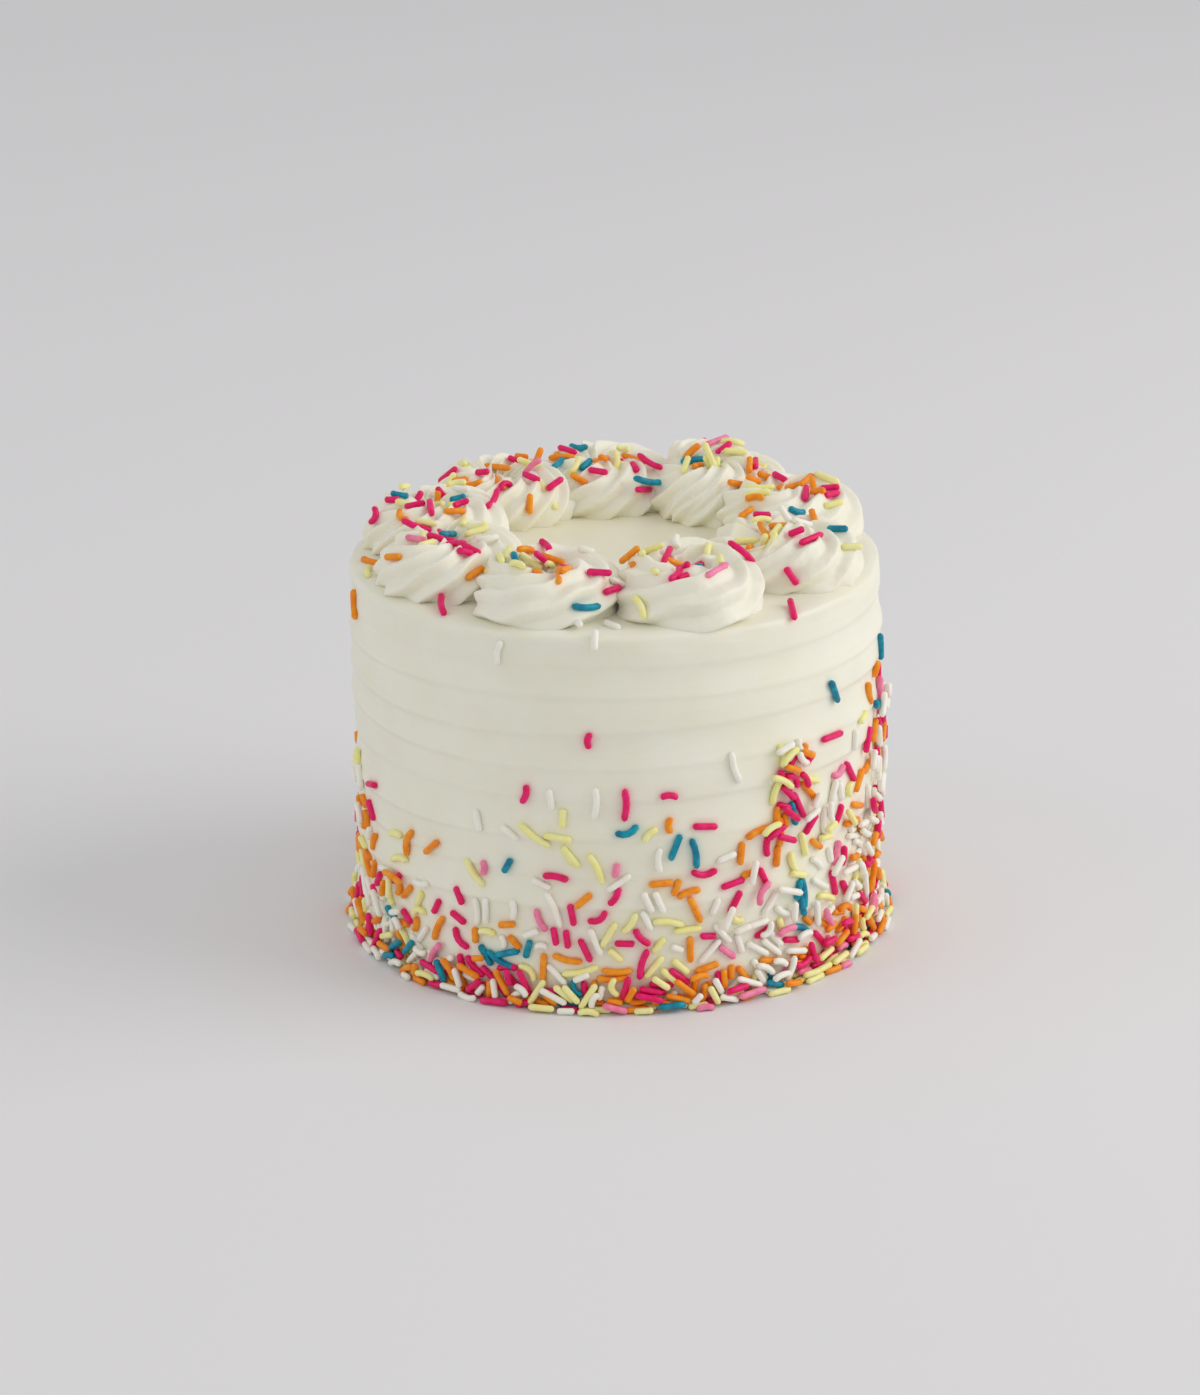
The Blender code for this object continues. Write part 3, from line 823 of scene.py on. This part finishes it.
def layLoneStrands(heap, surface, draw):
    sideways = bpy.context.scene.camera.matrix_world.to_3x3()
    for colour, marks in lone.items():
        for x, y, length, lean in marks:
            left, top = crop["start"]
            if y > top:
                x = left + (x - left) * crop["stretch"]
                y = top + (y - top) * crop["stretch"]
            start, aim = viewRay(x, y)
            spot, normal, index, distance = surface.ray_cast(start, aim)
            if spot is None:
                continue
            turn = math.radians(lean)
            seen = sideways @ Vector((math.cos(turn), math.sin(turn), 0))
            # the direction on the surface that looks like this from the camera, if the strand isn't
            # too long then. One that is stands in the cream with its lower end
            back = -seen.dot(normal) / aim.dot(normal)
            most = math.sqrt(max(0.0, (strand["longest"] / length) ** 2 - 1))
            along = seen + aim * max(-most, min(most, back))
            real = length * along.length
            kind = "bent" if length > 8 else pick(draw, shapeMix)
            place = None
            if abs(back) > most and spot.z > cakeTop + 2 * mm:
                side = 1 if along.z > 0 else -1
                half = 0.4 * length * side * mm / (perPixel * distance)
                start, aim = viewRay(x - half * math.cos(turn), y + half * math.sin(turn))
                foot = surface.ray_cast(start, aim)[0]
                if foot and (foot - spot).length < 12 * mm:
                    along = along.normalized() * side
                    across = (normal - along * normal.dot(along)).normalized()
                    place = frameOn(foot + along * 0.4 * real * mm, across, along, 0)
            if place is None:
                place = restOn(surface, spot, normal, along, real)
            if place is None:
                place = frameOn(spot, normal, along, strand["radius"] - strand["pressedIn"])
            heap.lay(colour, kind, place, real)


# how high the strands reach up the side, at each angle, and how many stand there
sideReach = (
    (0, 80), (60, 62), (130, 50), (185, 66), (205, 62), (225, 44), (250, 40), (265, 42), (290, 44),
    (305, 56), (318, 62), (335, 84), (345, 92), (360, 80),
)
sideCrowd = (
    (0, 1.9), (60, 1.3), (130, 1.0), (185, 1.1), (225, 0.6), (250, 0.5), (290, 0.6), (318, 1.0),
    (335, 1.9), (360, 1.9),
)


# clumps of strands: angle, height, how far they reach aside and up, number, colours
clumps = (
    (309, 67, 4.5, 6.5, 12, {"pink": 6, "orange": 3, "yellow": 2, "white": 3}),
    (305, 52, 4.0, 5.0, 6, {"orange": 3, "pink": 2, "yellow": 1}),
    (323, 11, 9.0, 7.0, 12, {"pink": 4, "rose": 2, "orange": 2}),
    (333, 16, 8.0, 9.0, 16, {"orange": 4, "white": 3, "pink": 1, "yellow": 2}),
    (241, 7, 10.0, 6.0, 8, {"pink": 2, "orange": 2, "white": 1}),
    (278, 5, 12.0, 3.0, 12, {"orange": 4, "pink": 4}),
    (214, 22, 9.0, 12.0, 14, {"white": 4, "pink": 1, "orange": 4, "yellow": 1}),
    (196, 34, 7.0, 14.0, 8, {"orange": 3, "white": 3, "yellow": 1}),
    (346, 50, 8.0, 30.0, 42, {"pink": 6, "orange": 4, "white": 7, "yellow": 2, "teal": 1}),
    (350, 66, 7.0, 14.0, 10, {"white": 4, "pink": 2, "yellow": 1, "orange": 1}),
    (336, 34, 10.0, 14.0, 18, {"white": 7, "yellow": 2, "pink": 3, "orange": 2}),
    (300, 26, 16.0, 12.0, 16, {"white": 5, "rose": 1}),
    (322, 40, 12.0, 18.0, 14, {"white": 5, "rose": 1, "yellow": 1}),
)


def readTable(table, angle):
    angles, values = zip(*table)
    return float(np.interp(angle % 360, angles, values))


scatter = {
    "heap": 1150,               # strands at the foot
    "heapHeight": 11.0,
    "heapDepth": 3.9,           # how far the heap stands out at the foot
    "low": 260,                 # strands over the heap
    "lowHeight": 26.0,
    "high": 130,
    "rosette": 18,
    "room": 1.75,               # least distance between two strands
}


def sideSpot(surface, angle, height):
    outward = onCircle(angle)
    start = outward * 0.2 + Vector((0, 0, height * mm))
    spot, normal, index, distance = surface.ray_cast(start, -outward)
    return spot, outward


def layClumps(heap, surface, draw):
    for angle, height, aside, up, amount, mix in clumps:
        laid = 0
        tried = 0
        while laid < amount and tried < 600:
            tried += 1
            turn = angle + math.degrees(aside / icing["radius"]) * max(-2, min(2, draw.gauss(0, 0.6)))
            level = max(1.2, height + up * max(-2, min(2, draw.gauss(0, 0.6))))
            spot, outward = sideSpot(surface, turn, level)
            if spot is None:
                continue
            length = min(10, max(3.8, draw.gauss(6.8, 1.4)))
            steep = min(1.0, 2 * (level - 1.0) / length)
            lean = math.asin(steep) * draw.uniform(-1, 1)
            along = Vector((0, 0, 1)).cross(outward) * math.cos(lean) + Vector((0, 0, 1)) * math.sin(lean)
            lift = strand["radius"] - strand["pressedIn"]
            while lift < 2.6:
                place = frameOn(spot, outward, along, lift)
                if heap.crowding(place, length) > scatter["room"] * mm:
                    heap.lay(pick(draw, mix), pick(draw, shapeMix), place, length)
                    laid += 1
                    break
                lift += 0.4


def layHeap(heap, surface, draw):
    # each strand starts against the icing and moves out until it has room
    tried = 0
    laid = 0
    while laid < scatter["heap"] and tried < 9000:
        tried += 1
        angle = draw.uniform(0, 360)
        uneven = 1 + 0.35 * noise.noise(onCircle(angle, 2.4, 1.0))
        top = scatter["heapHeight"] * uneven
        height = 1.0 + (top - 1.0) * draw.random() ** 1.35
        spot, outward = sideSpot(surface, angle, height)
        if spot is None:
            continue
        length = min(10.5, max(3.8, draw.gauss(7.2, 1.5)))
        steep = min(1.0, 2 * (height - 1.0) / length)
        lean = math.asin(steep) * draw.uniform(-1, 1) if steep < 1 else draw.uniform(-1.57, 1.57)
        level = Vector((0, 0, 1)).cross(outward)
        along = level * math.cos(lean) + Vector((0, 0, 1)) * math.sin(lean)
        allowed = scatter["heapDepth"] * max(0.0, 1 - height / top) + 0.6
        lift = strand["radius"] - strand["pressedIn"]
        while lift < allowed + 1:
            place = frameOn(spot, outward, along, lift)
            if heap.crowding(place, length) > scatter["room"] * mm:
                # the loose ones lie a little askew
                askew = draw.uniform(-0.2, 0.2) * min(1.0, lift)
                place = place @ Matrix.Rotation(askew, 4, "Y")
                heap.lay(pick(draw, mixAt(angle)), pick(draw, shapeMix), place, length)
                laid += 1
                break
            lift += 0.45


def laySide(heap, surface, draw):
    for amount, band in ((scatter["low"], "low"), (scatter["high"], "high")):
        laid = 0
        tried = 0
        while laid < amount and tried < 8000:
            tried += 1
            angle = draw.uniform(0, 360)
            crowd = readTable(sideCrowd, angle)
            if draw.uniform(0, 1.9) > crowd + (0.9 if band == "low" else 0):
                continue
            reach = readTable(sideReach, angle)
            if band == "low":
                height = 8 + (scatter["lowHeight"] - 8) * draw.random() ** 1.2
            else:
                height = scatter["lowHeight"] - 6 + (reach - scatter["lowHeight"]) * draw.random() ** 1.1
            spot, outward = sideSpot(surface, angle, height)
            if spot is None:
                continue
            length = min(10.5, max(3.8, draw.gauss(6.8, 1.5)))
            lean = draw.uniform(-1.57, 1.57)
            along = Vector((0, 0, 1)).cross(outward) * math.cos(lean) + Vector((0, 0, 1)) * math.sin(lean)
            place = frameOn(spot, outward, along, strand["radius"] - strand["pressedIn"])
            if heap.crowding(place, length) < (scatter["room"] + 0.6) * mm:
                continue
            heap.lay(pick(draw, mixAt(angle)), pick(draw, shapeMix), place, length)
            laid += 1


def layOnRosettes(heap, surface, draw):
    for name, make in rosettes.items():
        angle, offRing = make["place"]
        centre = onCircle(angle, rosetteRing + offRing)
        already = sum(
            1 for colour, kind, place, length in heap.laid
            if (place.translation / mm - centre).xy.length < 19 and place.translation.z > cakeTop
        )
        laid = already
        tried = 0
        while laid < scatter["rosette"] and tried < 400:
            tried += 1
            aside = onCircle(draw.uniform(0, 360), 14.5 * draw.random() ** 0.6)
            start = (centre + aside) * mm + Vector((0, 0, cakeTop + 0.05))
            spot, normal, index, distance = surface.ray_cast(start, Vector((0, 0, -1)))
            if spot is None or normal.z < 0.35:
                continue
            length = min(10, max(3.8, draw.gauss(6.8, 1.5)))
            along = onCircle(draw.uniform(0, 360))
            if draw.random() < 0.05:
                # a few stand up in the cream
                along = (along + Vector((0, 0, draw.uniform(0.8, 2.5)))).normalized()
                across = along.cross(onCircle(draw.uniform(0, 360))).normalized()
                turned = Matrix((along, across, along.cross(across))).transposed().to_4x4()
                place = Matrix.Translation(spot + along * (0.5 * length - 1.2) * mm) @ turned
            else:
                place = restOn(surface, spot, normal, along, length)
            if place is None or heap.crowding(place, length) < scatter["room"] * mm:
                continue
            heap.lay(pick(draw, crownMix), pick(draw, shapeMix), place, length)
            laid += 1


# what each colour leaves in the cream round a strand, and a painted yellow bounce light that tints the top inside
# the ring of rosettes
bleedsAndBounce = {
    "reach": 3.0,
    "pink": (1.0, 0.66, 0.74),
    "rose": (1.0, 0.80, 0.84),
    "orange": (1.0, 0.80, 0.60),
    "yellow": (0.99, 0.98, 0.78),
    "teal": (0.68, 0.89, 0.91),
    "strength": 0.72,
    "flat": (1.0, 0.985, 0.93),     # painted bounce light: the top inside the ring of rosettes is tinted yellower, for the yellow light the cream reflects between the rosettes
    "flatReach": (38.0, 62.0),
}


# stains the cream round each strand with its colour, and paints a yellow bounce light on the top inside the ring
# of rosettes
def stainCreamAndPaintBounce(pieces, heap):
    for piece in pieces:
        mesh = piece.data
        tree = KDTree(len(mesh.vertices))
        for corner in mesh.vertices:
            tree.insert(corner.co, corner.index)
        tree.balance()
        stainsAndBounce = np.ones((len(mesh.vertices), 4))
        points = readPoints(mesh) / mm
        # painted bounce light: a yellow tint on the top within the ring of rosettes, for the light reflected
        # between them
        paintedBounceMask = 1 - smoothStep(1.0, 4.0, np.abs(cakeTop / mm - points[:, 2]))
        paintedBounceMask *= 1 - smoothStep(*bleedsAndBounce["flatReach"], np.hypot(points[:, 0], points[:, 1]))
        stainsAndBounce[:, :3] *= 1 - paintedBounceMask[:, None] * (1 - np.array(bleedsAndBounce["flat"]))
        for colour, kind, place, length in heap.laid:
            if colour not in bleedsAndBounce:
                continue
            nearest = {}
            for point in heap.pointsOf(place, length):
                for spot, index, distance in tree.find_range(point, bleedsAndBounce["reach"] * mm):
                    nearest[index] = min(distance, nearest.get(index, 1.0))
            for index, distance in nearest.items():
                share = bleedsAndBounce["strength"] * math.exp(-max(0.0, distance / mm - 0.8) / 0.85)
                for channel in range(3):
                    stainsAndBounce[index, channel] *= 1 - share * (1 - bleedsAndBounce[colour][channel])
        layer = mesh.attributes.new("bleedAndBounce", "FLOAT_COLOR", "POINT")
        layer.data.foreach_set("color", stainsAndBounce.reshape(-1))
    print("cream stained")


# where each scattering's random numbers start
seeds = {"lone": 20, "clumps": 21, "heap": 22, "side": 23, "rosettes": 24, "flips": 25}


def buildStrands(cake, crowns):
    surface = surfaceOf([cake] + crowns)
    side = surfaceOf([cake])
    heap = StrandHeap()
    layLoneStrands(heap, surface, random.Random(seeds["lone"]))
    print("lone strands:", len(heap.laid))
    layClumps(heap, side, random.Random(seeds["clumps"]))
    print("with the clumps:", len(heap.laid))
    layHeap(heap, side, random.Random(seeds["heap"]))
    print("with the heap:", len(heap.laid))
    laySide(heap, side, random.Random(seeds["side"]))
    print("with the side:", len(heap.laid))
    layOnRosettes(heap, surface, random.Random(seeds["rosettes"]))
    print("with the rosettes:", len(heap.laid))
    draw = random.Random(seeds["flips"])
    kinds = {kind: buildStrand(kind) for kind in strand["arcs"]}
    pieces = []
    for colour in sugarColours:
        copies = []
        for laidColour, kind, place, length in heap.laid:
            if laidColour != colour:
                continue
            copy = kinds[kind].copy()
            copy.data = kinds[kind].data.copy()
            bpy.context.scene.collection.objects.link(copy)
            stretch = Matrix.Diagonal((length / strand["length"], 1, 1, 1))
            flip = Matrix.Rotation(math.pi * draw.randrange(2), 4, "X")
            copy.data.transform(place @ flip @ stretch)
            copies.append(copy)
        deselectAll()
        for copy in copies:
            copy.select_set(True)
        bpy.context.view_layer.objects.active = copies[0]
        bpy.ops.object.join()
        piece = bpy.context.object
        piece.name = colour + "Strands"
        points = readPoints(piece.data)
        points[:, 2] = np.maximum(points[:, 2], 0.02 * mm)
        writePoints(piece.data, points)
        piece.data.materials.clear()
        piece.data.materials.append(sugarFinish(colour))
        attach(piece, "root")
        pieces.append(piece)
    for kind in kinds.values():
        throwAway(kind)
    print("strands joined:", [(piece.name, len(piece.data.polygons)) for piece in pieces])
    return pieces, heap


placeCamera()
buildStudio()
icedCake = buildIcing()
pipedRosettes = buildRosettes()
strandPieces, strandHeap = buildStrands(icedCake, pipedRosettes)
stainCreamAndPaintBounce([icedCake] + pipedRosettes, strandHeap)
